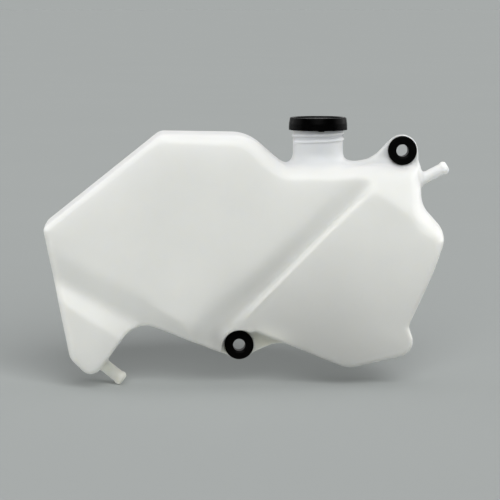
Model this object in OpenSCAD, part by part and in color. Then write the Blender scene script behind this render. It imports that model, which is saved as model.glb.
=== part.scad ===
// Coolant expansion tank: a blow-moulded plastic shell with a screw cap, two ears with rubber
// grommets and two hose nipples. X runs to the right, Y to the back and Z up. The origin is the
// middle of the upper grommet, on the parting plane that halves the shell from front to back.

/* [Shell] */
// Length of the body from its left tip to its right elbow
body_length = 261.5; // [245:0.5:320]
// Height of the body from its top edge to its foot
body_height = 156.5; // [130:0.5:190]
// Depth of the body from front face to back face
body_depth = 60; // [50:1:80]
// Thickness of the blown wall
wall = 2.5; // [1.6:0.1:3]
// Height of the top edge over the upper grommet
top_rise = 12; // [9:0.5:14]
// How far the right elbow reaches past the upper grommet
elbow_reach = 27.5; // [24:0.5:32]
// Height of the deck round the neck, measured from the upper grommet
deck_height = -9.5; // [-13:0.5:-8]
// How far the bottom of the right lobe leans back from the front face
lobe_lean = 8.8; // [2:0.2:10]

/* [Mounting] */
// Distance between the grommets along the body
mount_spacing_x = 106.7; // [98:0.1:128.1]
// Distance between the grommets in height
mount_spacing_z = 127.3; // [120:0.1:135]
// Outer radius of the upper ear
upper_ear_radius = 10.7; // [10:0.1:12]
// Outer radius of the lower ear, which its grommet nearly hides
lower_ear_radius = 9.8; // [9.6:0.1:12]
// Thickness of the ears, which are both walls pinched together
ear_thickness = 5; // [4:0.1:6]
// Radius of the cove that the upper ear stands in
upper_cove_radius = 11.7; // [11:0.1:13]
// Radius of the cove that the lower ear stands in
lower_cove_radius = 12.2; // [11.4:0.1:13]

/* [Grommets] */
// Radius of the bolt hole through a grommet
grommet_bore_radius = 4; // [3:0.1:4.5]
// Radius of a grommet where it fills the ear
grommet_waist_radius = 6.3; // [5.2:0.05:7.6]
// Radius of a grommet's two flanges
grommet_flange_radius = 9.5; // [8.5:0.1:10]
// Thickness of a grommet's flange
grommet_flange = 2.6; // [2:0.1:3.5]

/* [Neck and cap] */
// Place of the neck along the body, measured from the upper grommet
neck_x = -55; // [-58:0.5:-50]
// Height of the neck's rim over the upper grommet
rim_height = 17.3; // [15:0.1:20]
// Outer radius of the neck under its thread
neck_radius = 16.35; // [13:0.05:20]
// Wall of the neck
neck_wall = 2.6; // [2:0.1:3.2]
// Height of a thread ridge over the neck
thread_depth = 1.15; // [0.9:0.05:1.3]
// Rise of the thread in one turn
thread_pitch = 4; // [3.6:0.1:4.8]
// Gap between the threads of neck and cap
thread_gap = 0.3; // [0.2:0.05:0.4]
// Wall of the cap's skirt at its open end
cap_wall = 1.35; // [1.2:0.05:2.5]
// How much narrower the cap is at its top, in radius
cap_taper = 0.8; // [0:0.05:0.9]
// Thickness of the cap's roof
cap_roof = 2; // [1.8:0.1:2.6]
// How far the cap's skirt reaches down past the rim
cap_skirt = 3.8; // [3.4:0.1:4.6]
// Width of the raised ring round the cap's dished top
cap_ring = 2.6; // [2:0.1:4]
// Thickness of the seal disc
seal_thickness = 1.5; // [1:0.1:2]

/* [Hose nipples] */
// Outer radius of the upper nipple's stem
upper_nipple_radius = 3.7; // [3.2:0.1:4.2]
// Outer radius of the lower nipple's stem
lower_nipple_radius = 4.1; // [3.6:0.1:4.8]
// How much wider the bead at a nipple's tip is than its stem, in radius
nipple_bead = 0.55; // [0.3:0.05:0.9]
// Length of the upper nipple outside the body
upper_nipple_length = 18; // [13:0.5:21]
// Length of the lower nipple outside the body
lower_nipple_length = 16.5; // [13:0.5:20]
// Wall of a nipple
nipple_wall = 1.6; // [1.2:0.1:2]
// Rise of the upper nipple from level
upper_nipple_angle = 27; // [15:1:40]
// Fall of the lower nipple from level
lower_nipple_angle = 39; // [30:1:50]

/* [Hidden] */

// Room between parts that lie against each other
seat_gap = 0.05;
// Degrees in one step of a corner arc and steps in an edge rounding, for the outside and the cavity
corner_step = 15;
cavity_corner_step = 24;
rounding_steps = 4;
cavity_rounding_steps = 2;
thread_steps = 30;
big = 400;

// How much wider the coves are at the faces
upper_cove_flare = 2.5;
lower_cove_flare = 0.5;

// Ends of the body and place of the lower grommet
left_x = elbow_reach - body_length;
foot_z = top_rise - body_height;
lower_x = -mount_spacing_x;
lower_z = -mount_spacing_z;
half_depth = body_depth / 2;

// Outline of the body on the parting plane, clockwise from the left tip. Each row holds the
// corner's place, its radius and the rounding of the edge that follows it.
outline = [
    [left_x, top_rise - 60, 5, 6],
    [left_x + 76, top_rise, 9, 10],
    [neck_x - 47, top_rise - 1, 28, 12],
    [neck_x - 24, deck_height, 12, 13],
    [elbow_reach - 15.5, deck_height, 5, 8],
    [elbow_reach - 15.5, deck_height - 26.5, 17, 12],
    [elbow_reach, deck_height - 43.5, 11, 8],
    [elbow_reach - 8.5, deck_height - 69, 120, 7],
    [elbow_reach - 24, lower_z + 13.8, 3, 6],
    [elbow_reach - 18, lower_z - 3.7, 10.5, 6],
    [elbow_reach - 64, lower_z - 13.7, 18, 6],
    [lower_x + 9.7, lower_z + 11.3, 6, 4],
    [lower_x - 14.3, lower_z - 2.7, 4, 6],
    [left_x + 60, foot_z + 35.5, 17.5, 5],
    [left_x + 35.5, foot_z + 2.5, 5.5, 5],
    [left_x + 28.5, foot_z, 7, 5],
    [left_x + 17.5, foot_z + 11, 13, 6]
];
corners = len(outline);
face_centre = [left_x + 79, foot_z + 84.5];

function wrap(i) = (i + corners) % corners;
function spot(i) = [outline[wrap(i)][0], outline[wrap(i)][1]];
function rounding(i) = outline[wrap(i)][3];
function unit(v) = v / norm(v);
function heading(i) = unit(spot(i + 1) - spot(i));
function inward(d) = [d[1], -d[0]];
function cross2(a, b) = a[0] * b[1] - a[1] * b[0];
function spin(v, a) = [v[0] * cos(a) - v[1] * sin(a), v[0] * sin(a) + v[1] * cos(a)];
function turn(i) = atan2(cross2(heading(i - 1), heading(i)), heading(i - 1) * heading(i));
function mix(a, b, t) = a + (b - a) * t;

// A corner moved inward by one distance from the edge before it and another from the edge after
function moved(i, before, after) =
    let (n = inward(heading(i - 1)), m = inward(heading(i)), d = cross2(n, m))
    spot(i) + [before * m[1] - after * n[1], n[0] * after - m[0] * before] / d;

// One closed ring of the shell: skin is the depth under the outer surface, and angle runs from
// 0 on the side wall to 90 on the front face. The points carry their own depth.
function soft(i, skin) = max(rounding(i) - skin, 1.5);
function sink(i, skin, angle) = skin + soft(i, skin) * (1 - cos(angle));
function ring(skin, angle, side) = [
    for (i = [0 : corners - 1])
        let (
            a = turn(i),
            before = sink(i - 1, skin, angle),
            after = sink(i, skin, angle),
            move = sign(a) * (before + after) / 2,
            r = max(outline[i][2] + move, 0.4),
            back = r * tan(abs(a) / 2),
            start = moved(i, before, after) - heading(i - 1) * back,
            arm = inward(heading(i - 1)) * r * -sign(a),
            steps = max(1, round(abs(a) / (skin > 0 ? cavity_corner_step : corner_step)))
        )
        for (k = [0 : steps])
            let (
                p = start + arm - spin(arm, a * k / steps),
                f = mix(soft(i - 1, skin), soft(i, skin), k / steps)
            )
            [p[0], side * (half_depth - skin - f * (1 - sin(angle))), p[1]]
];

// The plain pillow shape of the body, before the hollows of its faces are taken out
module pillow(skin) {
    steps = skin > 0 ? cavity_rounding_steps : rounding_steps;
    front = [for (k = [steps : -1 : 0]) ring(skin, 90 * k / steps, -1)];
    rear = [for (k = [0 : steps]) ring(skin, 90 * k / steps, 1)];
    rings = concat(front, rear);
    count = len(rings[0]);
    last = len(rings) - 1;
    tip = count * len(rings);
    middle = [face_centre[0], face_centre[1]];
    points = concat(
        [for (r = rings) for (p = r) p],
        [[middle[0], skin - half_depth, middle[1]], [middle[0], half_depth - skin, middle[1]]]
    );
    sides = [
        for (r = [0 : last - 1])
            for (k = [0 : count - 1])
                let (
                    a = r * count + k,
                    b = r * count + (k + 1) % count
                )
                for (face = [[a, a + count, b + count], [a, b + count, b]]) face
    ];
    caps = [
        for (k = [0 : count - 1])
            let (next = (k + 1) % count)
            for (face = [[tip, k, next], [tip + 1, last * count + next, last * count + k]]) face
    ];
    polyhedron(points = points, faces = concat(sides, caps), convexity = 6);
}

// A groove with two flat flanks that meet along the line from p to q. The vectors up and down
// point from that line along the flanks, and skin widens the groove for the wall behind it.
module groove(p, q, up, down, skin, reach) {
    along = unit(q - p);
    a = unit(cross(along, up));
    b = unit(cross(along, down));
    n = a * -sign(a * down);
    m = b * -sign(b * up);
    shift = (n + m) * skin / (1 + n * m);
    near = p + shift - along * reach;
    far = q + shift + along * reach;
    swapped = cross(up, down) * along > 0;
    start = swapped ? far : near;
    end = swapped ? near : far;
    polyhedron(
        points = [start, start + up, start + down, end, end + up, end + down],
        faces = [[0, 2, 1], [3, 4, 5], [0, 1, 4, 3], [1, 2, 5, 4], [2, 0, 3, 5]]
    );
}

// Ends of the crisp valley that runs across the front face from under the neck to the lower ear
valley_top = [-17.4, 2 - half_depth, deck_height - 8.8];
valley_end = [lower_x - 7, 5.5 - half_depth, lower_z + 14.9];

module valley(skin) {
    groove(
        valley_top,
        valley_end,
        [-12.6, -5.5, 12.9] * 2.2,
        [0.8, -5.5, -0.8] * 2.2,
        skin,
        40
    );
}

// The hollow over the foot, with a long flank above and a short ledge below
module foot_hollow(skin) {
    groove(
        [left_x + 9, 5.7 - half_depth, foot_z + 57.8],
        [left_x + 53.5, 7.3 - half_depth, foot_z + 33.9],
        [7.5, -6.2, 14] * 2.4,
        [-3.8, -6, -7] * 2.4,
        skin,
        60
    );
}

// The sloping shoulder of the right lobe
module lobe_shoulder(skin) {
    groove(
        [-18.8, -half_depth, deck_height - 15.9],
        [17.3, -half_depth, deck_height - 41.6],
        [0.58, 0.42, 0.815] * 60,
        [0, -20, 0],
        skin,
        12
    );
}

// A flat cut that leans the right lobe back below a height. It starts at a depth under the
// face and is bounded by the valley on the left.
module lean_cut(height, depth, slope, skin) {
    way = valley_end - valley_top;
    share = (height - valley_top[2]) / way[2];
    start = [valley_top[0] + share * way[0], depth - half_depth, height];
    down = [way[0], -slope * way[2], way[2]];
    groove(start, start + [260, 0, 0], [0, -20, 0], down, skin, 0);
}

// The right lobe leans back below its shoulder, a little at first and more near the bottom
module lobe_back(skin) {
    upper_height = 40;
    lower_height = 46;
    steeper = 7 / 3;
    slope = lobe_lean / (upper_height + steeper * lower_height);
    start = deck_height - 45.5;
    lean_cut(start, 0, slope, skin);
    lean_cut(start - upper_height, upper_height * slope, steeper * slope, skin);
}

// The round cove that an ear stands in, wider towards the faces by the flare
module cove(radius, flare, skin) {
    rotate([90, 0, 0])
        rotate_extrude($fn = 64)
            polygon([
                [0, -half_depth - 1],
                [radius + skin + flare, -half_depth - 1],
                [radius + skin, -half_depth / 2],
                [radius + skin, half_depth / 2],
                [radius + skin + flare, half_depth + 1],
                [0, half_depth + 1]
            ]);
}

// The whole blown form at a depth under its surface: 0 gives the outside, the wall the cavity
module blown_form(skin) {
    difference() {
        pillow(skin);
        valley(skin);
        foot_hollow(skin);
        lobe_shoulder(skin);
        lobe_back(skin);
        cove(upper_cove_radius, upper_cove_flare, skin);
        translate([lower_x, 0, lower_z])
            cove(lower_cove_radius, lower_cove_flare, skin);
    }
}

module standing_plate(thickness) {
    rotate([90, 0, 0])
        linear_extrude(thickness, center = true)
            children();
}

// Flat web of the upper ear, tangent to the ear's rim. It sweeps down to the deck on the left
// and runs into the side of the body on the right.
module upper_ear() {
    flank = upper_ear_radius / sqrt(2);
    standing_plate(ear_thickness) {
        circle(upper_ear_radius, $fn = 64);
        polygon([
            [-flank, flank],
            [-flank - 9, flank - 9],
            [-flank - 15, deck_height + 4],
            [-flank - 22.5, deck_height + 1.4],
            [-flank - 30, deck_height],
            [-flank - 30, deck_height - 6],
            [upper_ear_radius, deck_height - 10],
            [upper_ear_radius, 0],
            [0, 0]
        ]);
    }
}

// Flat web of the lower ear, running along the bottom edge on both sides of it
module lower_ear() {
    translate([lower_x, 0, lower_z])
        standing_plate(ear_thickness) {
            circle(lower_ear_radius, $fn = 64);
            polygon([
                [-0.36 * lower_ear_radius, -0.932 * lower_ear_radius],
                [-18.5, -3.9],
                [-18.5, 8],
                [-4, 17],
                [14, 13],
                [31, 4.5],
                [31, 2],
                [21, 0.5],
                [10, -2.5]
            ]);
        }
}

// Hose nipple on the Z axis: a root sunk in the wall, a flared foot, a stem and a round bead
module nipple(radius, length) {
    bead = radius + nipple_bead;
    root = 4;
    rotate_extrude($fn = 48)
        polygon([
            [0, -root],
            [radius + 1.6, -root],
            [radius + 1.6, 0],
            [radius + 0.5, 0.9],
            [radius, 2.4],
            [radius, length - 3.6],
            [bead, length - 2.6],
            [bead, length - 1],
            [bead - 0.9, length],
            [0, length]
        ]);
}

module nipple_bore(radius, length) {
    inner_end = 12;
    translate([0, 0, -inner_end])
        cylinder(r = radius - nipple_wall, h = inner_end + length + 1, $fn = 48);
}

module at_upper_nipple() {
    translate([elbow_reach - 13.7, 0, deck_height - 9.3])
        rotate([0, 90 - upper_nipple_angle, 0])
            children();
}

module at_lower_nipple() {
    translate([left_x + 38.4, 0, foot_z + 4.2])
        rotate([0, 90 + lower_nipple_angle, 0])
            children();
}

// A thread ridge round the Z axis that fades in and out at its ends. Its section is a
// trapezoid with its foot at radius foot and its flat crest at radius crest.
module thread_ridge(foot, crest, turns, phase) {
    steps = round(turns * thread_steps);
    fade = 4;
    half_foot = ridge_foot * thread_pitch;
    half_crest = ridge_crest * thread_pitch;
    function section(k) =
        let (
            a = phase + 360 * k / thread_steps,
            z = thread_pitch * k / thread_steps,
            tall = min(1, k / fade, (steps - k) / fade),
            r = mix(foot, crest, 0.15 + 0.85 * tall),
            way = sign(crest - foot)
        )
        [
            [foot * cos(a), foot * sin(a), z - way * half_foot],
            [r * cos(a), r * sin(a), z - way * half_crest],
            [r * cos(a), r * sin(a), z + way * half_crest],
            [foot * cos(a), foot * sin(a), z + way * half_foot]
        ];
    walls = [
        for (k = [0 : steps - 1])
            for (j = [0 : 3])
                let (
                    a = 4 * k + j,
                    b = 4 * k + (j + 1) % 4
                )
                for (face = [[a, b, b + 4], [a, b + 4, a + 4]]) face
    ];
    ends = [
        [0, 3, 2],
        [0, 2, 1],
        [4 * steps, 4 * steps + 1, 4 * steps + 2],
        [4 * steps, 4 * steps + 2, 4 * steps + 3]
    ];
    polyhedron(
        points = [for (k = [0 : steps]) for (p = section(k)) p],
        faces = concat(walls, ends),
        convexity = 8
    );
}

neck_turns = 2.5;
cap_turns = 0.7;
// Half the width of a ridge at its foot and at its crest, as a share of the pitch
ridge_foot = 0.26;
ridge_crest = 0.13;
// The neck's thread ends this far under the rim, at any pitch
thread_end = 1.7;
thread_start = rim_height - thread_end - neck_turns * thread_pitch;
cap_thread_start = rim_height - cap_skirt + ridge_foot * thread_pitch + 0.06;
neck_phase = 180;
// The cap's ridge runs midway between two turns of the neck's
cap_phase = neck_phase + 360 * ((cap_thread_start - thread_start) / thread_pitch - 0.5);

// Filler neck: a tube with a flared foot on the deck and a rounded rim
module neck() {
    outer = neck_radius;
    flare = 3.6;
    translate([neck_x, 0, 0]) {
        rotate_extrude($fn = 96)
            polygon(concat(
                [[0, deck_height - wall], [outer + flare, deck_height - wall]],
                [for (a = [0 : 18 : 90])
                    [outer + flare * (1 - sin(a)), deck_height + flare * (1 - cos(a))]],
                [[outer, rim_height - 0.8], [outer - 0.8, rim_height], [0, rim_height]]
            ));
        translate([0, 0, thread_start])
            thread_ridge(outer - 0.7, outer + thread_depth, neck_turns, neck_phase);
    }
}

module neck_bore() {
    translate([neck_x, 0, deck_height - 8])
        cylinder(r = neck_radius - neck_wall, h = big, $fn = 96);
}

module ear_hole() {
    rotate([90, 0, 0])
        cylinder(r = grommet_waist_radius + seat_gap, h = big, center = true, $fn = 64);
}

module tank() {
    color("ivory")
        difference() {
            union() {
                blown_form(0);
                neck();
                upper_ear();
                lower_ear();
                at_upper_nipple()
                    nipple(upper_nipple_radius, upper_nipple_length);
                at_lower_nipple()
                    nipple(lower_nipple_radius, lower_nipple_length);
            }
            blown_form(wall);
            neck_bore();
            at_upper_nipple()
                nipple_bore(upper_nipple_radius, upper_nipple_length);
            at_lower_nipple()
                nipple_bore(lower_nipple_radius, lower_nipple_length);
            ear_hole();
            translate([lower_x, 0, lower_z])
                ear_hole();
        }
}

seal_base = rim_height + seat_gap;
roof_base = seal_base + seal_thickness + seat_gap;
cap_root = neck_radius + thread_depth + thread_gap;
cap_radius = cap_root + cap_wall;
cap_top_radius = cap_radius - cap_taper;

// Screw cap: tapered skirt with an inner thread, and a dished top inside a raised ring
module cap() {
    top = roof_base + cap_roof;
    ring_height = 0.8;
    open_end = rim_height - cap_skirt;
    color([0.06, 0.06, 0.06])
        translate([neck_x, 0, 0]) {
            rotate_extrude($fn = 96)
                polygon([
                    [cap_root + 0.3, open_end],
                    [cap_radius - 0.4, open_end],
                    [cap_radius, open_end + 0.5],
                    [cap_top_radius, top + ring_height - 0.7],
                    [cap_top_radius - 0.7, top + ring_height],
                    [cap_top_radius - cap_ring + 0.5, top + ring_height],
                    [cap_top_radius - cap_ring, top],
                    [0, top],
                    [0, roof_base],
                    [cap_root - 0.5, roof_base],
                    [cap_root - 0.1, roof_base - 0.4],
                    [cap_root, open_end + 0.4]
                ]);
            translate([0, 0, cap_thread_start])
                thread_ridge(cap_root + 0.35, neck_radius + thread_gap, cap_turns, cap_phase);
        }
}

module cap_seal() {
    color([0.12, 0.12, 0.13])
        translate([neck_x, 0, seal_base])
            cylinder(r = neck_radius - 0.1, h = seal_thickness, $fn = 96);
}

// Rubber bush with two flanges, a waist that fills the ear and a chamfered bolt hole
module grommet() {
    groove_half = ear_thickness / 2 + seat_gap;
    end = groove_half + grommet_flange;
    bore = grommet_bore_radius;
    color([0.09, 0.09, 0.09])
        rotate([90, 0, 0])
            rotate_extrude($fn = 64)
                polygon([
                    [bore, -end + 0.8],
                    [bore + 0.8, -end],
                    [grommet_flange_radius - 0.8, -end],
                    [grommet_flange_radius, -end + 0.8],
                    [grommet_flange_radius, -groove_half],
                    [grommet_waist_radius, -groove_half],
                    [grommet_waist_radius, groove_half],
                    [grommet_flange_radius, groove_half],
                    [grommet_flange_radius, end - 0.8],
                    [grommet_flange_radius - 0.8, end],
                    [bore + 0.8, end],
                    [bore, end - 0.8]
                ]);
}

module upper_grommet() {
    grommet();
}

module lower_grommet() {
    translate([lower_x, 0, lower_z])
        grommet();
}

tank();
cap();
cap_seal();
upper_grommet();
lower_grommet();
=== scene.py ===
import math

import bpy
import numpy as np
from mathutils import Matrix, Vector


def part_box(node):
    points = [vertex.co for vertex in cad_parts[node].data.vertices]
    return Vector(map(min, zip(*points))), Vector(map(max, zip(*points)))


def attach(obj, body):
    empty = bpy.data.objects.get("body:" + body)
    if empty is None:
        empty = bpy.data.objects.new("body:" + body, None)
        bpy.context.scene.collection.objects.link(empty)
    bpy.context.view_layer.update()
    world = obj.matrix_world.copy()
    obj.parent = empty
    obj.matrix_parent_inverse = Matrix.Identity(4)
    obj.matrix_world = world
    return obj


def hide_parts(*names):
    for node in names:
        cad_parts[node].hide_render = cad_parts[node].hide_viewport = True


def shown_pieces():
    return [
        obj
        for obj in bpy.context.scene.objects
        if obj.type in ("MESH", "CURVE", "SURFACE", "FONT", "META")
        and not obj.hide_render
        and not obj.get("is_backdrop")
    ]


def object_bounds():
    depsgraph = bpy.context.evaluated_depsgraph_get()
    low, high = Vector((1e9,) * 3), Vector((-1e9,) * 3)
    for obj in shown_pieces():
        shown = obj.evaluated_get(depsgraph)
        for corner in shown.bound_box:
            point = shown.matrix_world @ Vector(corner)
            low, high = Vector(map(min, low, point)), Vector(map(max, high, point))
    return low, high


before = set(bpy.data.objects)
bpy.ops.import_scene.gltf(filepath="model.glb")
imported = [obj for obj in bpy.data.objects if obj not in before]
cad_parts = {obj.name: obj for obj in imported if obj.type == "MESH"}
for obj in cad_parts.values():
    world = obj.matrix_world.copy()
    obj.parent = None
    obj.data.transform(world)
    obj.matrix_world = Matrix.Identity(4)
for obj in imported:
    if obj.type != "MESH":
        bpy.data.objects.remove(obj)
cad_low, cad_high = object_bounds()

# Lengths are in millimetres, in the part's own frame, until a mesh is made
MM = 0.001


def box_middle(node):
    """Middle of a CAD node's box."""
    low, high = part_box(node)
    return [round((a + b) / 2 / MM, 2) for a, b in zip(low, high)]


# Sizes of the shell, from the frame where the CAD model sets them
HALF_DEPTH = round(cad_high[1] / MM, 2)
WALL = 2.5
NECK_X = box_middle("cap_seal")[0]
NECK_RADIUS = 16.35
NECK_BORE = 13.75
NECK_FLOOR = -14.5
NECK_FILLET = 8.8
RIM = 17.3
THREAD_PITCH = 4.0
THREAD_TURNS = 2.5
THREAD_START = RIM - 1.7 - THREAD_TURNS * THREAD_PITCH
THREAD_PHASE = math.pi
THREAD_STAND = 0.7
EAR_HALF = 2.5
EAR_EDGE = 1.3
EAR_HOLE = 6.5
NIPPLE_WALL = 1.6
NIPPLE_BEAD = 0.5
SEAM_ROOM = 0.3
SEAM_HEIGHT = 0.28
SEAM_WIDTH = 1.0
FACE_ROOM = 0.05

# Hose nipples: the stem's foot and its rise from level, the length outside the body, where the
# turned stem takes over from the blown body, and the fillet at its root
UPPER_NIPPLE = dict(base=(13.8, 0.0, -18.8), angle=27.0, radius=3.7, length=18.0, cut=5.0, fillet=3.2)
LOWER_NIPPLE = dict(base=(-195.6, 0.0, -140.3), angle=-39.0, radius=4.1, length=16.5, cut=5.6, fillet=4.4)
NIPPLES = (UPPER_NIPPLE, LOWER_NIPPLE)

# Corners of the outline on the parting plane: x, z, corner radius, rounding of the edge after it
OUTLINE = [
    (-234.0, -48.0, 5, 3.5), (-158.0, 12.6, 9, 6.5), (-100.5, 11.6, 28, 10.5), (-77.0, -8.7, 12, 9.5),
    (12.0, -8.7, 5, 7), (12.6, -35.4, 17, 16), (28.2, -52.8, 14, 4), (19.0, -78.5, 120, 4),
    (3.5, -113.5, 3.5, 3), (9.5, -131.4, 10.5, 2.7), (-36.5, -141.9, 18, 2.7), (-97.0, -116.3, 6, 2.6),
    (-119.5, -130.6, 4, 2.6), (-174.0, -109.0, 17.5, 2.6), (-198.5, -142.0, 5.5, 3.6),
    (-205.5, -144.5, 7, 4.2), (-217.1, -133.5, 12, 5),
]

# Ears: the rim is a circle round the grommet, and the web runs from it into the body. The web's
# corners are measured from the grommet. The cove is the round room that the ear stands in.
UPPER_EAR = dict(
    middle=(0.0, 0.0), radius=10.25, web_blur=1.6, fillet=6.0, cove=11.7, cove_flare=2.5, cove_edge=3.0,
    web=[
        (-7.0, 7.7), (-10.7, 4.1), (-16.1, -1.7), (-22.3, -5.9), (-30.0, -8.2), (-37.0, -9.0),
        (-37.0, -15.0), (10.7, -22.0), (10.7, 0.0), (0.0, 0.0),
    ],
)
LOWER_EAR = dict(
    middle=box_middle("lower_grommet")[0::2], radius=9.75, web_blur=1.2, fillet=5.5,
    cove=11.5, cove_flare=0.5, cove_edge=2.0,
    web=[
        (-4.6, -8.5), (-18.3, -1.4), (-18.5, 8.0), (-4.0, 17.0), (14.0, 13.0), (31.0, 4.5),
        (31.0, 1.6), (21.0, -0.1), (10.5, -4.6), (6.4, -7.5), (0.0, 0.0),
    ],
)
EARS = (UPPER_EAR, LOWER_EAR)

# Lines that the hollows of the front face follow, from their first end to their second
VALLEY_LINE = ((-17.4, -18.3), (-113.7, -112.4))
FOOT_LINE = ((-224.2, -85.6), (-179.7, -109.5))
SHOULDER_LINE = ((-18.8, -25.4), (17.3, -51.1))
ARCH_LINE = ((-174, -109), (-121, -130))

# Grids: cell of the fields over the parting plane, cells and corners of the outer and inner surfaces
PLANE_CELL = 0.6
OUTER_CELL = 1.2
INNER_CELL = 2.6
GRID_LOW = (-236, -32, -156)
OUTER_HIGH = (32, 32, 14)
INNER_HIGH = (32, 32, 12)


# Outlines and blends


def corner_arc(p, before, after, radius, steps_for):
    """Points of the arc that rounds the corner p between its two neighbours."""
    a = (p - before) / np.linalg.norm(p - before)
    b = (after - p) / np.linalg.norm(after - p)
    turn = math.atan2(a[0] * b[1] - a[1] * b[0], a @ b)
    start = p - a * radius * math.tan(abs(turn) / 2)
    arm = np.array([a[1], -a[0]]) * radius * -np.sign(turn)
    steps = max(2, steps_for(abs(math.degrees(turn))))
    arc = []
    for k in range(steps + 1):
        c, s = math.cos(turn * k / steps), math.sin(turn * k / steps)
        arc.append(start + arm - np.array([arm[0] * c - arm[1] * s, arm[0] * s + arm[1] * c]))
    return arc


def rounded(corners, step=4.0):
    """Points along a closed outline with its corners rounded, and the rounding of the edge there."""
    points, values = [], []
    for i, (x, z, radius, rounding) in enumerate(corners):
        before = np.array(corners[i - 1][:2], float)
        after = np.array(corners[(i + 1) % len(corners)][:2], float)
        arc = corner_arc(np.array([x, z], float), before, after, radius, lambda turn: int(round(turn / step)))
        points += arc
        last = corners[i - 1][3]
        steps = len(arc) - 1
        values += [last + (rounding - last) * k / steps for k in range(steps + 1)]
    return np.array(points), np.array(values, float)


def polygon_field(points, px, pz, values=None):
    """Signed distance to a closed polygon, positive inside, and the value of the nearest side."""
    best = np.full(px.shape, 1e9)
    nearest = np.zeros(px.shape)
    inside = np.zeros(px.shape, bool)
    for i, (ax, az) in enumerate(points):
        bx, bz = points[(i + 1) % len(points)]
        ex, ez = bx - ax, bz - az
        length = ex * ex + ez * ez
        if length < 1e-9:
            continue
        t = np.clip(((px - ax) * ex + (pz - az) * ez) / length, 0, 1)
        d = (px - ax - t * ex) ** 2 + (pz - az - t * ez) ** 2
        closer = d < best
        best = np.where(closer, d, best)
        if values is not None:
            nearest = np.where(closer, values[i], nearest)
        if ez != 0:
            inside ^= ((az > pz) != (bz > pz)) & (px < ex * (pz - az) / ez + ax)
    return np.where(inside, 1, -1) * np.sqrt(best), nearest


def blurred(field, sigma):
    """Gaussian blur of a 2-D field, edges held. The width is in cells."""
    reach = int(math.ceil(3 * sigma))
    kernel = np.exp(-0.5 * (np.arange(-reach, reach + 1) / sigma) ** 2)
    kernel /= kernel.sum()
    for axis in (0, 1):
        pad = [(0, 0), (0, 0)]
        pad[axis] = (reach, reach)
        wide = np.pad(field, pad, mode="edge")
        size = field.shape[axis]
        total = np.zeros_like(field)
        for k, w in enumerate(kernel):
            part = wide[k : k + size] if axis == 0 else wide[:, k : k + size]
            total += w * part
        field = total
    return field


def smoothstep(low, high, v):
    """0 before low and 1 past high, with a soft S between them."""
    t = np.clip((v - low) / (high - low), 0, 1)
    return t * t * (3 - 2 * t)


def smooth_min(a, b, k):
    """The smaller of two fields, with a fillet of about k where they meet."""
    h = np.maximum(k - np.abs(a - b), 0) / k
    return np.minimum(a, b) - h * h * k / 4


def smooth_max(a, b, k):
    """The larger of two fields, with a fillet of about k where they meet."""
    return -smooth_min(-a, -b, k)


def bell(distance, width):
    """A bell curve: 1 in the middle, about a third at the width."""
    return np.exp(-((distance / width) ** 2))


def patch(x, z, middle, width_x, width_z):
    """A bell-shaped patch of the parting plane round a middle."""
    return np.exp(-(((x - middle[0]) / width_x) ** 2) - ((z - middle[1]) / width_z) ** 2)


# Fields over the parting plane, looked up at any point of it

GRID_X = np.arange(-242.0, 38.0, PLANE_CELL)
GRID_Z = np.arange(-162.0, 24.0, PLANE_CELL)
PLANE_X, PLANE_Z = np.meshgrid(GRID_X, GRID_Z, indexing="ij")


def look(field, x, z):
    """Values of a field over the plane at points of it."""
    u = np.clip((x - GRID_X[0]) / PLANE_CELL, 0, len(GRID_X) - 1.001)
    v = np.clip((z - GRID_Z[0]) / PLANE_CELL, 0, len(GRID_Z) - 1.001)
    i, j = u.astype(int), v.astype(int)
    u, v = u - i, v - j
    near = field[i, j] * (1 - v) + field[i, j + 1] * v
    far = field[i + 1, j] * (1 - v) + field[i + 1, j + 1] * v
    return near * (1 - u) + far * u


def along_line(p, q):
    """Share of the way from p to q and distance to the left of that line, over the plane."""
    ex, ez = q[0] - p[0], q[1] - p[1]
    length = math.hypot(ex, ez)
    ex, ez = ex / length, ez / length
    dx, dz = PLANE_X - p[0], PLANE_Z - p[1]
    return (dx * ex + dz * ez) / length, dx * -ez + dz * ex


def body_fields():
    """Distance in from the body's outline and rounding of its edge, over the plane."""
    line, edge_rounding = rounded(OUTLINE)
    inset, rounding = polygon_field(line, PLANE_X, PLANE_Z, edge_rounding)
    inset -= SEAM_ROOM
    inset = inset + (blurred(inset, 3.2) - inset) * smoothstep(1.0, 6.0, inset)
    return inset, blurred(rounding, 9.0)


# The valley's flank is steepest at its middle, and it widens towards the lower ear. The wall's
# height is for a slope of 1, and the lean is in millimetres for each square millimetre of drop.
FLANK_MIDDLE, FLANK_WIDTH = 10.0, 7.5
WIDE_FLANK_MIDDLE, WIDE_FLANK_WIDTH = 13.5, 11.0
WALL_HEIGHT = 12.9
BROW_DEPTH, BROW_REACH = 1.1, 2.8
LEAN, LEAN_TOP = 0.00106, -50
DIP_DEPTH, DIP_RADIUS = 9.0, 20.0
FOOT_LEDGE_SLOPE = 0.42
SHOULDER_SLOPE = 0.68
CROWN_REACH = 16.0


def flank_depths(middle, width, full_depth=None):
    """Distances across the valley's flank and the depths there. The slope is a bell curve."""
    step = 0.25
    across = np.arange(-20.0, 60.0, step)
    slopes = bell(across - middle, width)
    depths = (slopes.sum() - np.cumsum(slopes)) * step
    if full_depth is not None:
        depths = (slopes.sum() - np.cumsum(slopes)) * full_depth / slopes.sum()
    return across, depths


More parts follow.
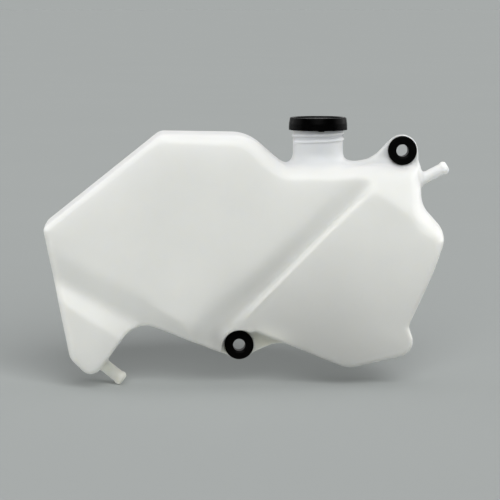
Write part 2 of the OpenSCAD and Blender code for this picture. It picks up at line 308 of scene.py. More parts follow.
def valley_depth():
    """Diagonal valley: a long flank on its left, a steep wall with a brow on its right, and the
    right lobe leaning back below. It ends in a dip over the lower ear."""
    share, left = along_line(*VALLEY_LINE)
    share = np.clip(share, -0.1, 1.1)
    steep = 0.3 + 0.37 * np.clip(share, 0, 0.9)
    across, depths = flank_depths(FLANK_MIDDLE, FLANK_WIDTH)
    _, wide_depths = flank_depths(WIDE_FLANK_MIDDLE, WIDE_FLANK_WIDTH, depths[0])
    spread = smoothstep(0.65, 1.05, share)
    flank = np.interp(-left, across, depths) * (1 - spread)
    flank = (flank + np.interp(-left, across, wide_depths) * spread) * steep
    wall_foot = 1.5 - 0.45 * smoothstep(0.45, 0.75, share)
    wall_slope = 2.9 - 2.5 * smoothstep(0.74, 1.0, share)
    wall = WALL_HEIGHT * steep - wall_slope * (left + wall_foot)
    brow = BROW_DEPTH * np.exp(-np.maximum(left + wall_foot - 0.9, 0) / BROW_REACH)
    depth = smooth_min(flank, smooth_max(wall, brow, 1.0), 0.9)
    lean = LEAN * np.maximum(LEAN_TOP - PLANE_Z, 0) ** 2 * smoothstep(-1.0, 5.0, left)
    depth = smooth_max(depth, lean, 1.0)
    ear_x, ear_z = LOWER_EAR["middle"]
    apart = np.hypot(PLANE_X - ear_x + 3, PLANE_Z - ear_z - 2)
    return smooth_max(depth, DIP_DEPTH * bell(apart, DIP_RADIUS), 4.0)


def foot_depth():
    """Hollow over the foot: a long flank above its floor and a short ledge below."""
    share, left = along_line(*FOOT_LINE)
    floor = 5.5 + 1.4 * np.clip(share, -0.5, 1.5)
    crisp = smoothstep(0.95, 1.45, share)
    low = 8.0 + 7.5 * crisp
    high = 32.0 - 13.5 * crisp
    up = left - 3.0
    part = np.clip((up - low) / (high - low), 0, 1)
    run = np.minimum(up, low) + (high - low) * (part - part**3 + part**4 / 2)
    depth = smooth_min(floor * (1 - 2 * run / (low + high)), floor + FOOT_LEDGE_SLOPE * up, 2.6)
    return smooth_max(depth, 0 * depth, 0.8)


def shoulder_depth():
    """Sloping shoulder of the right lobe, above the lobe's flat face."""
    share, left = along_line(*SHOULDER_LINE)
    return smooth_max(SHOULDER_SLOPE * left, 0 * left, 4.2) * smoothstep(-0.75, -0.1, share)


def face_depths(inset):
    """Distances of the front and back faces from the parting plane."""
    hollow = smooth_max(smooth_max(valley_depth(), foot_depth(), 0.8), shoulder_depth(), 0.8)
    valley_head = patch(PLANE_X, PLANE_Z, (-24.0, -20.0), 15.0, 12.0)
    hollow += (blurred(hollow, 3.6) - hollow) * valley_head
    crown = 2.8 + 1.9 * smoothstep(-70, 10, PLANE_Z)
    back = HALF_DEPTH - FACE_ROOM - crown * np.exp(-np.maximum(inset, 0) / CROWN_REACH)
    return back - blurred(hollow, 0.9), back


def web_field(ear):
    """Distance in from the edge of an ear's web and rim, over the plane."""
    ear_x, ear_z = ear["middle"]
    web, _ = polygon_field([(x + ear_x, z + ear_z) for x, z in ear["web"]], PLANE_X, PLANE_Z)
    rim = ear["radius"] - np.hypot(PLANE_X - ear_x, PLANE_Z - ear_z)
    return blurred(np.maximum(web, rim), ear["web_blur"])


INSET, ROUNDING = body_fields()
FRONT_DEPTH, BACK_DEPTH = face_depths(INSET)
WEB_INSETS = [web_field(ear) for ear in EARS]


# Solid fields, negative inside

# Lowest and highest point of the neck's blown stub and of the hole that opens the inner wall to it,
# how far a nipple's stub starts inside the body, and how far it runs past the cut
NECK_STUB = (-24, 4.0)
INNER_STUB = (-30, -12.0)
STUB_ROOT = 5
STUB_SPARE = 3


def round_corner(side, face, radius):
    """Distance to an edge that rounds from a side wall into a face. Both are measured from the
    inner end of the rounding."""
    corner = np.hypot(np.maximum(side, 0), np.maximum(face, 0))
    return corner + np.minimum(np.maximum(side, face), 0) - radius


def cushion(x, y, z):
    """The blown body before its ears and neck: a face field rounded into the side wall, with a
    low ridge where the two halves of the mould met."""
    inset = look(INSET, x, z) + SEAM_HEIGHT * bell(y, SEAM_WIDTH)
    rounding = look(ROUNDING, x, z)
    depth = np.where(y < 0, look(FRONT_DEPTH, x, z), look(BACK_DEPTH, x, z))
    return round_corner(rounding - inset, np.abs(y) - depth + rounding, rounding)


def cove(ear, x, y, z):
    """Round room for a grommet and its bolt, wider towards the faces."""
    wide = ear["cove"] + ear["cove_flare"] * smoothstep(12, HALF_DEPTH, np.abs(y))
    return np.hypot(x - ear["middle"][0], z - ear["middle"][1]) - wide


def plate(web_inset, x, y, z):
    """An ear's flat plate on the parting plane."""
    side = EAR_EDGE - look(web_inset, x, z)
    return round_corner(side, np.abs(y) - EAR_HALF + EAR_EDGE, EAR_EDGE)


def nipple_axis(nipple):
    """Foot of a nipple and the way it points."""
    a = math.radians(nipple["angle"])
    return np.array(nipple["base"]), np.array([math.cos(a), 0.0, math.sin(a)])


def nipple_stub(nipple, x, y, z):
    """The blown foot of a nipple, a little longer than the part that is kept."""
    base, way = nipple_axis(nipple)
    dx, dz = x - base[0], z - base[2]
    t = dx * way[0] + dz * way[2]
    r = np.hypot(y, dx * -way[2] + dz * way[0])
    return np.maximum(r - nipple["radius"], np.maximum(-STUB_ROOT - t, t - nipple["cut"] - STUB_SPARE))


def neck_rod(x, y, z, radius, low, high):
    """An upright cylinder on the neck's axis."""
    return np.maximum(np.hypot(x - NECK_X, y) - radius, np.maximum(z - high, low - z))


def body_form(x, y, z):
    """The cushion with its coves, before ears, neck and nipples."""
    d = cushion(x, y, z)
    for ear in EARS:
        d = smooth_max(d, -cove(ear, x, y, z), ear["cove_edge"])
    return d


def shell_outside(x, y, z):
    d = smooth_min(body_form(x, y, z), neck_rod(x, y, z, NECK_RADIUS, *NECK_STUB), NECK_FILLET)
    for ear, web_inset in zip(EARS, WEB_INSETS):
        d = smooth_min(d, plate(web_inset, x, y, z), ear["fillet"])
    for nipple in NIPPLES:
        d = smooth_min(d, nipple_stub(nipple, x, y, z), nipple["fillet"])
    for ear in EARS:
        d = np.maximum(d, EAR_HOLE - np.hypot(x - ear["middle"][0], z - ear["middle"][1]))
    return np.maximum(d, -neck_rod(x, y, z, NECK_BORE, NECK_FLOOR, math.inf))


def shell_inside(x, y, z):
    return np.minimum(body_form(x, y, z) + WALL, neck_rod(x, y, z, NECK_BORE, *INNER_STUB))


# Surfaces


def crossing_points(values, cells):
    """Mean place, in cells, of where the level crosses the edges of each given cell."""
    points = np.zeros((len(cells), 3))
    hits = np.zeros(len(cells))
    unit = np.eye(3, dtype=int)
    for axis in range(3):
        u, v = unit[(axis + 1) % 3], unit[(axis + 2) % 3]
        for i in (0, 1):
            for j in (0, 1):
                a = cells + i * u + j * v
                b = a + unit[axis]
                fa, fb = values[tuple(a.T)], values[tuple(b.T)]
                cross = (fa < 0) != (fb < 0)
                t = np.where(cross, fa / np.where(cross, fa - fb, 1), 0)
                points += np.where(cross[:, None], a + t[:, None] * unit[axis], 0)
                hits += cross
    return points / hits[:, None]


def pulled_to_level(field, points, cell):
    """Moves points along the field's slope onto its zero level."""
    e = 0.25
    for _ in range(3):
        x, y, z = points.T
        slope = np.stack([
            field(x + e, y, z) - field(x - e, y, z),
            field(x, y + e, z) - field(x, y - e, z),
            field(x, y, z + e) - field(x, y, z - e),
        ], axis=1) / (2 * e)
        move = (field(x, y, z) / np.maximum((slope * slope).sum(1), 0.2))[:, None] * slope
        size = np.linalg.norm(move, axis=1, keepdims=True)
        points -= move * np.minimum(1, 0.5 * cell / np.maximum(size, 1e-9))
    return points


def level_quads(solid, index):
    """Quads between the cells' points, one for each grid edge that the level crosses."""
    unit = np.eye(3, dtype=int)
    quads = []
    for axis in range(3):
        sides = ((axis + 1) % 3, (axis + 2) % 3)
        u, v = unit[sides[0]], unit[sides[1]]
        a = np.argwhere(np.diff(solid, axis=axis))
        keep = np.all(a[:, sides] > 0, axis=1)
        for side in sides:
            keep &= a[:, side] < solid.shape[side] - 1
        a = a[keep]
        around = ((1, 1), (0, 1), (0, 0), (1, 0))
        four = np.stack([index[tuple((a - i * u - j * v).T)] for i, j in around], axis=1)
        starts_solid = solid[tuple(a.T)]
        four[~starts_solid] = four[~starts_solid][:, ::-1]
        quads.append(four)
    return np.concatenate(quads)


def surface(field, low, high, cell):
    """Points and quads on the zero level of a field, one point a cell."""
    low = np.array(low, float)
    counts = np.ceil((np.array(high) - low) / cell).astype(int) + 1
    xs, ys, zs = [low[i] + cell * np.arange(counts[i]) for i in range(3)]
    y, z = np.meshgrid(ys, zs, indexing="ij")
    values = np.stack([field(np.full(y.shape, x), y, z) for x in xs])
    solid = values < 0
    total = np.zeros(tuple(counts - 1), int)
    for i in (0, 1):
        for j in (0, 1):
            for k in (0, 1):
                total += solid[i : counts[0] - 1 + i, j : counts[1] - 1 + j, k : counts[2] - 1 + k]
    crossed = (total > 0) & (total < 8)
    cells = np.argwhere(crossed)
    index = np.full(crossed.shape, -1)
    index[crossed] = np.arange(len(cells))
    points = low + crossing_points(values, cells) * cell
    return pulled_to_level(field, points, cell), level_quads(solid, index)


def soft_profile(corners, closed=True):
    """A profile of (radius, height, corner radius) with its corners rounded."""
    profile = []
    for i, (radius, height, rounding) in enumerate(corners):
        p = np.array([radius, height], float)
        if rounding <= 0 or (not closed and i in (0, len(corners) - 1)):
            profile.append(p)
            continue
        before = np.array(corners[i - 1][:2], float)
        after = np.array(corners[(i + 1) % len(corners)][:2], float)
        profile += corner_arc(p, before, after, rounding, lambda turn: int(turn / 15))
    return profile


def fine(profile, longest):
    """The same profile with its long stretches cut into short ones."""
    out = [np.array(profile[0], float)]
    for p in profile[1:]:
        start = out[-1]
        cuts = max(1, int(math.ceil(np.linalg.norm(p - start) / longest)))
        out += [start + (p - start) * k / cuts for k in range(1, cuts + 1)]
    return out


def fine_ring(corners, longest):
    """A closed profile with soft corners and short stretches."""
    profile = soft_profile(corners)
    return fine(profile + [profile[0]], longest)[:-1]


def revolved(profile, steps, closed=True):
    """Points and quads of a profile of (radius, height) turned round the Z axis."""
    profile = np.array(profile, float)
    n = len(profile)
    a = np.arange(steps) * 2 * math.pi / steps
    radius, height = profile[:, :1], profile[:, 1:]
    points = np.stack([radius * np.cos(a), radius * np.sin(a), np.repeat(height, steps, 1)], axis=2)
    k = np.arange(steps)
    m = (k + 1) % steps
    quads = []
    for i in range(n if closed else n - 1):
        j = (i + 1) % n
        quads.append(np.stack([i * steps + k, i * steps + m, j * steps + m, j * steps + k], 1))
    return points.reshape(-1, 3), np.concatenate(quads)


def ridge(angle, height, start, turns, phase):
    """How far a thread ridge stands out at an angle and height, from 0 to 1."""
    best = np.zeros(angle.shape)
    turned = np.mod(angle - phase, 2 * math.pi) / (2 * math.pi)
    for n in range(int(math.ceil(turns)) + 1):
        t = turned + n
        u = np.abs(height - start - THREAD_PITCH * t) / THREAD_PITCH
        fade = smoothstep(0.0, 0.1, t) * smoothstep(0.0, 0.1, turns - t)
        best = np.maximum(best, (1 - smoothstep(0.06, 0.3, u)) * fade)
    return best


def new_piece(name, points, quads, body, material, tint=None):
    """A smooth mesh piece from points and quads, riding on a body."""
    mesh = bpy.data.meshes.new(name)
    mesh.vertices.add(len(points))
    mesh.vertices.foreach_set("co", (points * MM).ravel().astype(np.float32))
    mesh.loops.add(quads.size)
    mesh.loops.foreach_set("vertex_index", quads.ravel().astype(np.int32))
    mesh.polygons.add(len(quads))
    mesh.polygons.foreach_set("loop_start", np.arange(0, quads.size, 4, dtype=np.int32))
    mesh.update(calc_edges=True)
    mesh.validate()
    mesh.polygons.foreach_set("use_smooth", [True] * len(mesh.polygons))
    if tint is not None:
        layer = mesh.attributes.new("tint", "FLOAT_COLOR", "POINT")
        colours = np.ones((len(mesh.vertices), 4), np.float32)
        colours[:, :3] = tint
        layer.data.foreach_set("color", colours.ravel())
    mesh.materials.append(material)
    piece = bpy.data.objects.new(name, mesh)
    bpy.context.scene.collection.objects.link(piece)
    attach(piece, body)
    return piece


# Materials


def new_material(name):
    """A material with its nodes, links, shader and the object's own coordinates."""
    material = bpy.data.materials.new(name)
    material.use_nodes = True
    nodes, links = material.node_tree.nodes, material.node_tree.links
    where = nodes.new("ShaderNodeTexCoord").outputs["Object"]
    return material, nodes, links, nodes["Principled BSDF"], where


def mix_colour(nodes, links, factor, a, b, blend="MIX"):
    node = nodes.new("ShaderNodeMix")
    node.data_type = "RGBA"
    node.blend_type = blend
    for socket, value in ((0, factor), (6, a), (7, b)):
        if isinstance(value, bpy.types.NodeSocket):
            links.new(value, node.inputs[socket])
        else:
            node.inputs[socket].default_value = value
    return node.outputs[2]


def noise(nodes, links, where, scale, detail=2.0):
    node = nodes.new("ShaderNodeTexNoise")
    node.inputs["Scale"].default_value = scale
    node.inputs["Detail"].default_value = detail
    links.new(where, node.inputs["Vector"])
    return node.outputs["Fac"]


def ranged(nodes, links, value, low, high):
    """The middle stretch of a noise, spread from low to high."""
    node = nodes.new("ShaderNodeMapRange")
    links.new(value, node.inputs["Value"])
    node.inputs["From Min"].default_value = 0.3
    node.inputs["From Max"].default_value = 0.7
    node.inputs["To Min"].default_value = low
    node.inputs["To Max"].default_value = high
    return node.outputs["Result"]


def bump(nodes, links, height, strength, distance, normal=None):
    node = nodes.new("ShaderNodeBump")
    node.inputs["Strength"].default_value = strength
    node.inputs["Distance"].default_value = distance
    links.new(height, node.inputs["Height"])
    if normal is not None:
        links.new(normal, node.inputs["Normal"])
    return node.outputs["Normal"]


def milky(name, colour, scatter):
    """Blown polyethylene: pale, soft, light passes a little way in; tinted by the mesh, whose tint carries
    painted light and shade.
    """
    material, nodes, links, shader, where = new_material(name)
    tint = nodes.new("ShaderNodeAttribute")
    tint.attribute_name = "tint"
    cloud = ranged(nodes, links, noise(nodes, links, where, 28.0, 3.0), 0.0, 1.0)
    dim = [c * 0.965 for c in colour]
    base = mix_colour(nodes, links, cloud, dim + [1], list(colour) + [1])
    base = mix_colour(nodes, links, 1.0, base, tint.outputs["Color"], "MULTIPLY")
    links.new(base, shader.inputs["Base Color"])
    grain = noise(nodes, links, where, 900.0)
    wave = noise(nodes, links, where, 45.0, 1.0)
    links.new(ranged(nodes, links, wave, 0.36, 0.43), shader.inputs["Roughness"])
    normal = bump(nodes, links, wave, 0.12, 0.0006)
    normal = bump(nodes, links, grain, 0.06, 0.00008, normal)
    links.new(normal, shader.inputs["Normal"])
    shader.inputs["IOR"].default_value = 1.5
    shader.inputs["Specular IOR Level"].default_value = 0.42
    shader.inputs["Subsurface Weight"].default_value = scatter
    shader.inputs["Subsurface Radius"].default_value = (1.0, 0.96, 0.85)
    shader.inputs["Subsurface Scale"].default_value = 0.0055
    return material


def black(name, colour, roughness, grain_scale, grain_depth):
    """Black plastic or rubber with a fine grain and slightly uneven sheen."""
    material, nodes, links, shader, where = new_material(name)
    cloud = ranged(nodes, links, noise(nodes, links, where, 160.0, 3.0), 0.0, 1.0)
    pale = [c * 1.5 for c in colour]
    base = mix_colour(nodes, links, cloud, list(colour) + [1], pale + [1])
    links.new(base, shader.inputs["Base Color"])
    sheen = noise(nodes, links, where, 220.0)
    sheen = ranged(nodes, links, sheen, roughness - 0.05, roughness + 0.06)
    links.new(sheen, shader.inputs["Roughness"])
    grain = noise(nodes, links, where, grain_scale, 3.0)
    links.new(bump(nodes, links, grain, 0.25, grain_depth), shader.inputs["Normal"])
    shader.inputs["IOR"].default_value = 1.45
    shader.inputs["Specular IOR Level"].default_value = 0.03
    return material


def pale_floor():
    """Matt grey-green studio floor with a faint cloud."""
    material, nodes, links, shader, where = new_material("pale_floor")
    cloud = ranged(nodes, links, noise(nodes, links, where, 3.0), 0.0, 1.0)
    base = mix_colour(nodes, links, cloud, (0.395, 0.415, 0.41, 1), (0.4, 0.42, 0.415, 1))
    links.new(base, shader.inputs["Base Color"])
    shader.inputs["Roughness"].default_value = 0.9
    shader.inputs["Specular IOR Level"].default_value = 0.0
    return material


SHELL_MATERIAL = milky("milky_shell", (0.71, 0.715, 0.688), 1.0)
INSIDE_MATERIAL = milky("milky_inside", (0.66, 0.665, 0.64), 0.0)
CAP_MATERIAL = black("black_cap", (0.0005, 0.0005, 0.0005), 0.28, 1500.0, 0.00005)
RUBBER_MATERIAL = black("black_rubber", (0.001, 0.001, 0.0009), 0.34, 2400.0, 0.00004)


# Tint of the shell


def neck_painted_shade(x, y, z):
    """Painted shade on the neck: its thin wall is painted a bluer grey, most at its front, and a painted
    shadow lies under the cap.
    """
    off = np.hypot(x - NECK_X, y)
    # painted shade: the thin wall painted a bluer grey, heaviest at the front
    thin = 1 - smoothstep(0.0, 6.0, np.maximum(off - 17.5, -8.5 - z))
    thin *= 0.45 + 0.75 * smoothstep(0.0, -15.0, y)
    # painted shadow of the cap across the top of the neck
    cap_shadow_mask = smoothstep(4.0, 9.5, z) * (off < 20) * (y < 0)
    return [(thin, (0.925, 0.935, 0.95)), (cap_shadow_mask, (0.78, 0.78, 0.79))]


def ear_painted_light_and_shade(x, y, z):
    """Painted shade on the upper ear's pinched web, painted light on the lower ear's web, and a painted ring
    of shade round the left of the upper bush.
    """
    pinched = (1 - smoothstep(0.5, 3.5, np.abs(y) - 2.6)) * (1 - smoothstep(0.0, 2.5, look(INSET, x, z)))
    # painted shade: the upper web greyer where it sits back behind the faces
    upper = pinched * (z > -12) * (x > -45) * (z < 20)
    upper *= 1 - smoothstep(9.5, 12.5, x)
    # painted light: the lower web lighter than the shade of its cove leaves it
    lower = pinched * (z < -100) * (x > -140) * (x < -70)
    # painted shade: a ring of contact shade round the left of the upper bush
    ring = bell(np.hypot(x, z) - 10.0, 2.6) * smoothstep(9.0, 4.0, np.abs(y)) * (x < 0)
    return [(upper, (0.87, 0.88, 0.88)), (lower, (1.06, 1.06, 1.03)), (ring, (0.87, 0.87, 0.88))]


def nipple_painted_light_and_tone(points):
    """Painted light makes the upper nipple lighter, as if it shone through; the lower one is a little yellow
    and a little darker, partly its own tone and partly painted shade.
    """
    tints = []
    # upper: painted light; lower: a yellow tone of its own with a little painted shade
    for nipple, tint in ((UPPER_NIPPLE, (1.09, 1.09, 1.065)), (LOWER_NIPPLE, (0.98, 0.97, 0.92))):
        base, way = nipple_axis(nipple)
        t = (points - base) @ way
        off = np.linalg.norm(points - base - t[:, None] * way, axis=1)
        tints.append((smoothstep(0.5, 6.0, t) * (1 - smoothstep(6.0, 9.0, off)), tint))
    return tints


def painted_light_and_edge_tints(x, y, z):
    """Painted light at two narrow ends of the body, the lower nipple's root by the foot and the lower web's
    end, lifting the shade there; and the upper edge, a little blue.
    """
    # painted light over the shade at the lower nipple's root and at the lower web's end
    root_painted_light = patch(x, z, (-192.0, -143.0), 8.0, 6.0) * smoothstep(-14.0, -8.0, y)
    web_painted_light = patch(x, z, (-88.0, -122.0), 13.0, 9.0) * smoothstep(-28.0, -22.0, y)
    edge = np.exp(-np.maximum(look(INSET, x, z), 0) / 6.0) * smoothstep(-60.0, -35.0, z)
    return [(root_painted_light, (1.3, 1.3, 1.26)), (web_painted_light, (1.28, 1.27, 1.23)), (edge, (1.0, 1.0, 1.03))]


def valley_shade():
    """Shade on the valley's flank, over the plane."""
    share, left = along_line(*VALLEY_LINE)
    flank = bell(-left - FLANK_MIDDLE, FLANK_WIDTH)
    return flank * smoothstep(0.1, 1.0, np.clip(share, -0.1, 1.1))


def arch_shade():
    """Shade along the arch under the body, over the plane."""
    share, left = along_line(*ARCH_LINE)
    return smoothstep(16.0, 3.0, left) * smoothstep(0.1, 0.6, share) * smoothstep(1.3, 1.0, share)


def shade_at(x, y, z):
    """How much darker the shell is: low on the right, at the toe and, at the front, in the
    valley, at its end and along the arch."""
    sink = smoothstep(-38.0, -150.0, z) * smoothstep(-150.0, -60.0, x)
    sink *= 1 - 0.5 * smoothstep(-50.0, 5.0, x)
    toe = smoothstep(-95.0, -140.0, z) * smoothstep(-150.0, -185.0, x)
    valley_end = patch(x, z, (-123.0, -117.0), 13.0, 15.0)
    corner = patch(x, z, (-121.5, -123.0), 4.5, 8.0)
    front = 0.03 * look(valley_shade(), x, z) + 0.08 * valley_end
    front += 0.1 * look(arch_shade(), x, z) + 0.18 * corner
    return 0.34 * sink + 0.07 * toe + (y < 0) * front


def tint_at(points):
    """Tint of the shell: painted light and shade at its thin, pinched and narrow places and on its nipples, a
    little tone of its own, and the painted shade of shade_at.
    """
    x, y, z = points.T
    tint = np.ones((len(points), 3))
    tints = neck_painted_shade(x, y, z) + ear_painted_light_and_shade(x, y, z) + nipple_painted_light_and_tone(points) + painted_light_and_edge_tints(x, y, z)
    for weight, colour in tints:
        tint *= 1 + (np.array(colour) - 1) * weight[:, None]
    return tint * (1 - shade_at(x, y, z)[:, None])


# Shell

# Height at which the turned neck takes over from the blown body, and how far a turned part
# reaches into the body's open end
NECK_CUT = 1.0
JOIN = 0.02


def open_end(points, quads, base, way, radius, cut):
    """Takes away what lies past a plane across a stub and squares the stub's new end to it."""
    t = (points - base) @ way
    near = np.linalg.norm(points - base - t[:, None] * way, axis=1) < radius + 1.0
    gone = (t[quads].mean(1) > cut) & near[quads].all(1)
    border = np.intersect1d(quads[gone], quads[~gone])
    points[border] += (cut - t[border])[:, None] * way
    return quads[~gone & ~np.isin(quads, border).all(1)]


def blown_body():
    """The outer surface, open at the bottom of the neck's bore and where the turned parts join."""
    points, quads = surface(shell_outside, GRID_LOW, OUTER_HIGH, OUTER_CELL)
    x, y, z = points[quads].mean(1).T
    hole = (np.hypot(x - NECK_X, y) < 13.0) & (z < NECK_FLOOR + 1.5) & (z > NECK_FLOOR - 1.5)
    up = np.array([0, 0, 1.0])
    quads = open_end(points, quads[~hole], np.array([NECK_X, 0, 0]), up, 16.4, NECK_CUT)
    for nipple in NIPPLES:
        quads = open_end(points, quads, *nipple_axis(nipple), nipple["radius"], nipple["cut"])
    return points, quads


def neck():
    """The neck's outer wall with its thread, its rim and its bore."""
    foot = NECK_CUT - JOIN
    outer = fine([(NECK_RADIUS, foot), np.array((NECK_RADIUS, RIM - 0.9))], 0.4)
    rim = soft_profile([
        (NECK_RADIUS, RIM - 2, 0), (NECK_RADIUS, RIM, 0.8), (NECK_BORE, RIM, 0.6), (NECK_BORE, RIM - 2, 0),
    ], closed=False)[1:-1]
    inner = fine([(NECK_BORE, RIM - 1.0), np.array((NECK_BORE, foot))], 3.0)
    points, quads = revolved(outer + rim + inner, 160, closed=False)
    angle = np.arctan2(points[:, 1], points[:, 0])
    radius = np.hypot(points[:, 0], points[:, 1])
    stand = ridge(angle, points[:, 2], THREAD_START, THREAD_TURNS, THREAD_PHASE)
    wider = np.where(radius > NECK_RADIUS - 0.05, 1 + THREAD_STAND * stand / NECK_RADIUS, 1)
    points[:, :2] *= wider[:, None]
    points[:, 0] += NECK_X
    return points, quads


def nipple_tube(nipple):
    """A nipple's stem, rounded bead and bore."""
    radius, length, foot = nipple["radius"], nipple["length"], nipple["cut"] - JOIN
    bead = radius + NIPPLE_BEAD
    bore = radius - NIPPLE_WALL
    profile = soft_profile([
        (radius, foot, 0), (radius, length - 4.4, 1.4), (bead, length - 3.0, 0.9),
        (bead, length - 1.5, 1.3), (bead - 1.2, length, 0.9), (bore, length, 0.35), (bore, foot, 0),
    ], closed=False)
    points, quads = revolved(fine(profile, 0.8), 56, closed=False)
    base, way = nipple_axis(nipple)
    across = np.array([0.0, 1.0, 0.0])
    up = np.cross(way, across)
    return base + points[:, :1] * up + points[:, 1:2] * across + points[:, 2:] * way, quads


def tank_inside():
    """The inner wall, open at the neck and facing the cavity."""
    points, quads = surface(shell_inside, GRID_LOW, INNER_HIGH, INNER_CELL)
    x, y, z = points[quads].mean(1).T
    hole = (np.hypot(x - NECK_X, y) < 15.0) & (z > -15.5)
    quads = quads[~hole][:, ::-1].copy()
    new_piece("tank_inside", points, quads, "shell", INSIDE_MATERIAL, tint=0.97)


def tank_body():
    """The body with the turned neck and nipples in one mesh, so that light passes between them."""
    parts = [blown_body(), neck()] + [nipple_tube(nipple) for nipple in NIPPLES]
    points = np.concatenate([part[0] for part in parts])
    starts = np.cumsum([0] + [len(part[0]) for part in parts])
    quads = np.concatenate([part[1] + start for part, start in zip(parts, starts)])
    piece = new_piece("tank_body", points, quads, "shell", SHELL_MATERIAL, tint_at(points))
    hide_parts("tank")


tank_inside()
tank_body()


# Cap and seal disc

# The root is the skirt's inner radius, and a profile starts a hair off the axis
AXIS = 0.02
CAP_ROOT = 17.8
CAP_END = RIM - 3.8
CAP_ROOF = RIM + 1.6
CAP_TOP = CAP_ROOF + 2.0
CAP_RIDGE_START = CAP_END + 0.26 * THREAD_PITCH + 0.06
CAP_RIDGE_TURNS = 0.7


def cap_ridge(points, radius, angle):
    """Presses the cap's inner thread ridge in between the neck's ridges."""
    turns_up = (CAP_RIDGE_START - THREAD_START) / THREAD_PITCH
    phase = THREAD_PHASE + 2 * math.pi * (turns_up - 0.5)
    stand = ridge(angle, points[:, 2], CAP_RIDGE_START, CAP_RIDGE_TURNS, phase)
    inner_wall = (radius > CAP_ROOT - 0.1) & (radius < CAP_ROOT + 0.02) & (points[:, 2] < CAP_ROOF - 0.35)
    reach = CAP_ROOT - NECK_RADIUS - 0.4
    points[:, :2] *= np.where(inner_wall, 1 - reach * stand / CAP_ROOT, 1)[:, None]


def cap_nub(points, radius, angle):
    """Pulls down the small nub on the front of the skirt's lower edge."""
    nub = 1 - smoothstep(1.6, 2.4, np.abs(radius * (angle + math.pi / 2) - 1.0))
    points[:, 2] -= 0.45 * nub * (points[:, 2] < CAP_END + 0.8) * (radius > CAP_ROOT + 0.1)


def screw_cap():
    """Tapered skirt and dished top with a raised ring."""
    skirt, waist, top, dish, ring = 19.12, 18.95, 18.3, 16.0, CAP_TOP + 0.75
    profile = fine_ring([
        (skirt, CAP_END, 0.35), (waist, CAP_END + 4.3, 0.5), (top, ring, 0.85),
        (dish, ring, 0.5), (dish - 0.6, CAP_TOP - 0.15, 0.5), (AXIS, CAP_TOP, 0),
        (AXIS, CAP_ROOF, 0), (CAP_ROOT - 0.4, CAP_ROOF, 0.3), (CAP_ROOT, CAP_END, 0.25),
    ], 0.6)
    points, quads = revolved(profile, 144)
    angle = np.arctan2(points[:, 1], points[:, 0])
    radius = np.hypot(points[:, 0], points[:, 1])
    cap_ridge(points, radius, angle)
    cap_nub(points, radius, angle)
    points[:, 0] += NECK_X
    piece = new_piece("screw_cap_shell", points, quads, "screw_cap", CAP_MATERIAL)
    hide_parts("cap")


def seal_disc():
    """Flat rubber disc between the cap's roof and the neck's rim, a seat gap clear of both."""
    radius, bottom, top = 16.25, RIM + 0.05, CAP_ROOF - 0.05
    profile = [(AXIS, bottom, 0), (radius, bottom, 0.3), (radius, top, 0.3), (AXIS, top, 0)]
    points, quads = revolved(fine_ring(profile, 1.2), 96)
    points[:, 0] += NECK_X
    piece = new_piece("seal_disc_rubber", points, quads, "seal_disc", RUBBER_MATERIAL)
    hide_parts("cap_seal")


screw_cap()
seal_disc()


# Rubber bushes


def bush(name, node, ear):
    """Two flanges on a waist that fills the ear, with a bolt hole through them."""
    flange, waist, bore, end, groove = 9.47, 6.3, 4.0, 5.13, 2.56
    half = [
        (bore, end - 0.5, 0.4), (bore + 0.75, end - 0.25, 0.3), (bore + 1.3, end, 0.3),
        (flange, end, 0.95), (flange, groove, 0.3), (waist, groove, 0.3),
    ]
    other_half = [(radius, -height, rounding) for radius, height, rounding in half]
    points, quads = revolved(fine_ring(other_half + half[::-1], 0.5), 96)
    ear_x, ear_z = ear["middle"]
    points = np.stack([points[:, 0] + ear_x, -points[:, 2], points[:, 1] + ear_z], 1)
    piece = new_piece(name, points, quads, "shell", RUBBER_MATERIAL)
    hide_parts(node)


bush("upper_bush", "upper_grommet", UPPER_EAR)
bush("lower_bush", "lower_grommet", LOWER_EAR)


# Floor, light and camera

FLOOR = round(cad_low[2] / MM, 2) - 0.08
FLOOR_HALF = 60000.0


def studio_floor():
    """A wide plane just under the part."""
    mesh = bpy.data.meshes.new("floor")
    corners = [(-1, -1), (1, -1), (1, 1), (-1, 1)]
    points = [(x * FLOOR_HALF * MM, y * FLOOR_HALF * MM, FLOOR * MM) for x, y in corners]
    mesh.from_pydata(points, [], [(0, 1, 2, 3)])
    mesh.materials.append(pale_floor())
    ground = bpy.data.objects.new("floor", mesh)
    bpy.context.scene.collection.objects.link(ground)
    ground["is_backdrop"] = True
    return ground


def studio_world():
    """Even grey light. Mirror-like rays see dark in front of the part and pale behind it, and
    the camera sees the backdrop's tone."""
    world = bpy.data.worlds.new("studio")
    bpy.context.scene.world = world
    world.use_nodes = True
    nodes, links = world.node_tree.nodes, world.node_tree.links
    path = nodes.new("ShaderNodeLightPath")
    split = nodes.new("ShaderNodeSeparateXYZ")
    links.new(nodes.new("ShaderNodeTexCoord").outputs["Generated"], split.inputs["Vector"])
    behind = ranged(nodes, links, split.outputs["Y"], 0.02, 0.6)
    light = mix_colour(nodes, links, path.outputs["Is Glossy Ray"], (0.28, 0.28, 0.28, 1), behind)
    backdrop = (0.386, 0.407, 0.402, 1)
    colour = mix_colour(nodes, links, path.outputs["Is Camera Ray"], light, backdrop)
    links.new(colour, nodes["Background"].inputs["Color"])


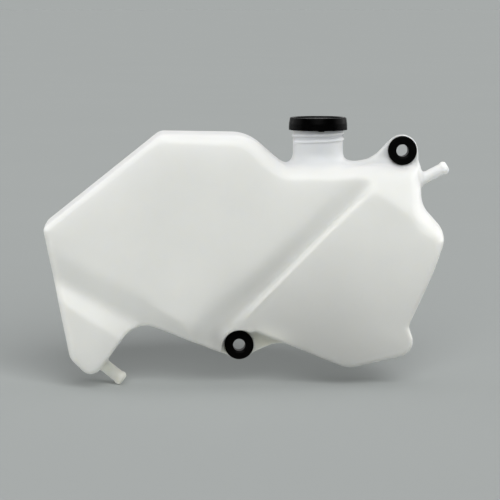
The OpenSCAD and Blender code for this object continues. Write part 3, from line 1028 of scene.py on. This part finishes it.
def light_group(name, things):
    """A collection of the objects that a light reaches."""
    group = bpy.data.collections.new(name)
    for thing in things:
        group.objects.link(thing)
    return group


def sun(name, azimuth, elevation, strength, spread, lit, blockers=None):
    """Soft distant light from an azimuth, 0 being the camera's side and 90 the right. It lights
    one collection, so the floor keeps an even tone whatever falls on the part."""
    lamp = bpy.data.lights.new(name, "SUN")
    lamp.energy = strength
    lamp.angle = math.radians(spread)
    holder = bpy.data.objects.new(name, lamp)
    a, e = math.radians(azimuth), math.radians(elevation)
    source = Vector((math.sin(a) * math.cos(e), -math.cos(a) * math.cos(e), math.sin(e)))
    holder.rotation_euler = source.to_track_quat("Z", "Y").to_euler()
    holder.light_linking.receiver_collection = lit
    if blockers is not None:
        holder.light_linking.blocker_collection = blockers
    bpy.context.scene.collection.objects.link(holder)


def studio_camera():
    """Camera a little to the left of the part and above it, looking at its middle."""
    target, distance = Vector((-0.0994, 0.0, -0.0652)), 1.558
    to_right, down, half_view = math.radians(2.5), math.radians(6.0), math.radians(6.0)
    data = bpy.data.cameras.new("camera")
    data.sensor_width = 36.0
    data.lens = data.sensor_width / 2 / math.tan(half_view)
    data.clip_end = 200.0
    camera = bpy.data.objects.new("camera", data)
    way = Vector((math.sin(to_right) * math.cos(down), math.cos(to_right) * math.cos(down), -math.sin(down)))
    camera.location = target - way * distance
    camera.rotation_euler = way.to_track_quat("-Z", "Y").to_euler()
    bpy.context.scene.collection.objects.link(camera)
    bpy.context.scene.camera = camera


ground = studio_floor()
studio_world()
lit_parts = light_group("lit_parts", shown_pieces())
lit_floor = light_group("lit_floor", [ground])
sun("key", -4, 41, 2.64, 55, lit_parts)
sun("top", 0, 80, 0.25, 60, lit_parts)
sun("left_rim", -105, 12, 1.7, 60, lit_parts)
sun("right_rim", 103, 16, 2.2, 60, lit_parts)
sun("under_fill", 0, -55, 0.7, 70, lit_parts, lit_parts)
sun("floor_front", 10, 23.5, 4.12, 52, lit_floor)
sun("floor_top", 180, 76, 0.56, 90, lit_floor)
studio_camera()
bpy.context.scene.view_settings.view_transform = "Standard"
